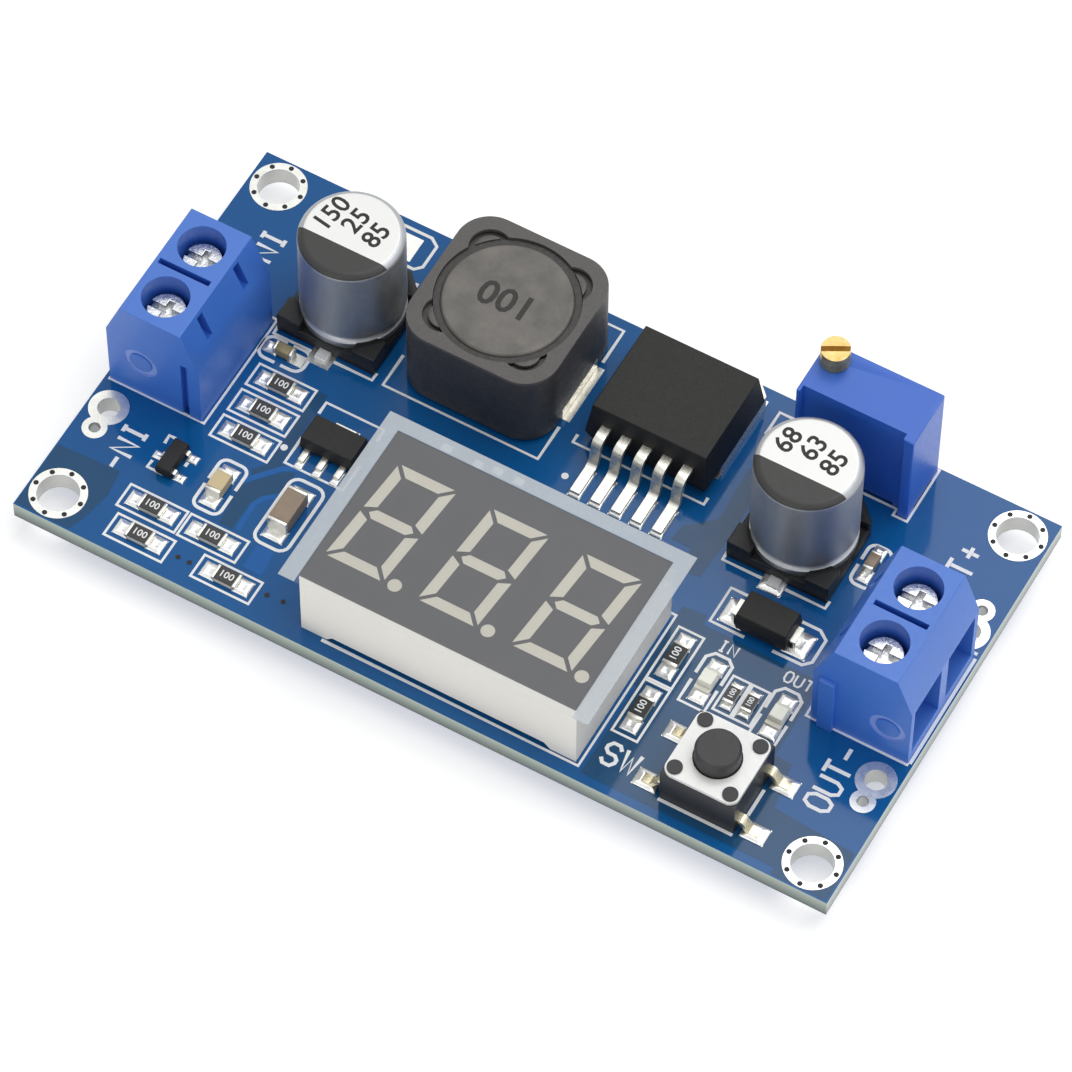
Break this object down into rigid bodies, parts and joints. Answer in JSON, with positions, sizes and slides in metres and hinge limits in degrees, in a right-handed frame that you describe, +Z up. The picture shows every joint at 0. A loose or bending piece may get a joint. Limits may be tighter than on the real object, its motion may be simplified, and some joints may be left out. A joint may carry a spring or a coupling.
{
  "type": "boost converter module",
  "caption": "Flat board that raises a supply voltage: screw terminals at both ends, shielded coil, capacitors, regulator, setting trimmer, digit display and push button.",
  "frame": {"origin": "middle of the four mounting holes, on the board's underside", "axes": "+X from the input terminal to the output terminal, +Y from the switch side to the trimmer side, +Z up from the board towards the parts"},
  "size_m": [0.067, 0.036, 0.0149],
  "materials": {
    "board_mask": "glossy blue solder mask on glass-epoxy laminate",
    "tinned": "tinned copper, satin",
    "solder": "soft solder, shiny",
    "terminal_blue": "moulded nylon, satin",
    "contact_metal": "tinned brass",
    "screw_steel": "zinc-plated steel",
    "black_moulding": "matt moulding compound",
    "can_metal": "drawn aluminium, satin",
    "ferrite": "sintered ferrite, dull",
    "ferrite_disc": "ground ferrite, dull",
    "glue_black": "dark epoxy glue, dull",
    "enamelled_wire": "enamelled copper wire",
    "trimmer_blue": "moulded plastic, satin",
    "trimmer_brass": "turned brass",
    "display_white": "white moulded plastic",
    "display_grey": "printed grey face",
    "display_diffuser": "milky resin",
    "film": "clear protective film",
    "switch_black": "moulded plastic, dull",
    "switch_cover": "bright plated steel",
    "chip_black": "glazed black coat",
    "chip_tan": "fired ceramic",
    "light_base": "white laminate",
    "light_lens": "clear resin"
  },
  "bodies": {
    "module": {"circuit_board": "board_mask", "mounting_lands": "tinned", "wire_lands": "tinned", "solder_lands": "tinned", "pin_solder": "solder", "input_terminal_housing": "terminal_blue", "input_terminal_contacts": "contact_metal", "output_terminal_housing": "terminal_blue", "output_terminal_contacts": "contact_metal", "input_capacitor_base": "black_moulding", "input_capacitor_can": "can_metal", "input_capacitor_leads": "tinned", "output_capacitor_base": "black_moulding", "output_capacitor_can": "can_metal", "output_capacitor_leads": "tinned", "inductor_shield": "ferrite", "inductor_core": "ferrite_disc", "inductor_winding": "enamelled_wire", "inductor_adhesive": "glue_black", "inductor_clips": "tinned", "regulator_body": "black_moulding", "regulator_tab": "tinned", "regulator_leads": "tinned", "diode_body": "black_moulding", "diode_leads": "tinned", "trimmer_body": "trimmer_blue", "trimmer_pins": "tinned", "display_housing": "display_white", "display_face": "display_grey", "display_segments": "display_diffuser", "display_film": "film", "display_pins": "tinned", "meter_chip_body": "black_moulding", "meter_chip_leads": "tinned", "switch_base": "switch_black", "switch_cover": "switch_cover", "switch_dome": "screw_steel", "switch_leads": "tinned", "supply_regulator_body": "black_moulding", "supply_regulator_leads": "tinned", "transistor_body": "black_moulding", "transistor_leads": "tinned", "resistor_bodies": "chip_black", "resistor_ends": "tinned", "chip_capacitor_bodies": "chip_tan", "chip_capacitor_ends": "tinned", "indicator_light_bases": "light_base", "indicator_light_lenses": "light_lens"},
    "input_positive_guard": {"input_positive_guard": "contact_metal"},
    "input_negative_guard": {"input_negative_guard": "contact_metal"},
    "output_positive_guard": {"output_positive_guard": "contact_metal"},
    "output_negative_guard": {"output_negative_guard": "contact_metal"},
    "input_positive_screw": {"input_positive_screw": "screw_steel"},
    "input_negative_screw": {"input_negative_screw": "screw_steel"},
    "output_positive_screw": {"output_positive_screw": "screw_steel"},
    "output_negative_screw": {"output_negative_screw": "screw_steel"},
    "trimmer_screw": {"trimmer_screw": "trimmer_brass"},
    "switch_button": {"switch_button": "switch_black"}
  },
  "joints": [
    {"name": "input_positive_guard_slide", "type": "slide", "parent": "module", "child": "input_positive_guard", "axis": [0, 0, -1], "range_m": [0, 0.00158]},
    {"name": "input_positive_screw_turn", "type": "hinge", "parent": "input_positive_guard", "child": "input_positive_screw", "pos_m": [-0.0294, 0.00244, 0.0096], "axis": [0, 0, -1], "range_deg": [0, 1260]},
    {"name": "input_negative_guard_slide", "type": "slide", "parent": "module", "child": "input_negative_guard", "axis": [0, 0, -1], "range_m": [0, 0.00158]},
    {"name": "input_negative_screw_turn", "type": "hinge", "parent": "input_negative_guard", "child": "input_negative_screw", "pos_m": [-0.0294, -0.00264, 0.0096], "axis": [0, 0, -1], "range_deg": [0, 1260]},
    {"name": "output_positive_guard_slide", "type": "slide", "parent": "module", "child": "output_positive_guard", "axis": [0, 0, -1], "range_m": [0, 0.00158]},
    {"name": "output_positive_screw_turn", "type": "hinge", "parent": "output_positive_guard", "child": "output_positive_screw", "pos_m": [0.0294, 0.00244, 0.0096], "axis": [0, 0, -1], "range_deg": [0, 1260]},
    {"name": "output_negative_guard_slide", "type": "slide", "parent": "module", "child": "output_negative_guard", "axis": [0, 0, -1], "range_m": [0, 0.00158]},
    {"name": "output_negative_screw_turn", "type": "hinge", "parent": "output_negative_guard", "child": "output_negative_screw", "pos_m": [0.0294, -0.00264, 0.0096], "axis": [0, 0, -1], "range_deg": [0, 1260]},
    {"name": "trimmer_screw_turn", "type": "hinge", "parent": "module", "child": "trimmer_screw", "pos_m": [0.0152, 0.01646, 0.0124], "axis": [0, 0, 1], "continuous": true},
    {"name": "switch_button_press", "type": "slide", "parent": "module", "child": "switch_button", "axis": [0, 0, -1], "range_m": [0, 0.00025], "stiffness_N_per_m": 6400, "deforming": ["switch_dome"]}
  ],
  "couplings": [
    {"joint": "input_positive_screw_turn", "follows": "input_positive_guard_slide", "rad_per_m": 13962},
    {"joint": "input_negative_screw_turn", "follows": "input_negative_guard_slide", "rad_per_m": 13962},
    {"joint": "output_positive_screw_turn", "follows": "output_positive_guard_slide", "rad_per_m": 13962},
    {"joint": "output_negative_screw_turn", "follows": "output_negative_guard_slide", "rad_per_m": 13962}
  ]
}
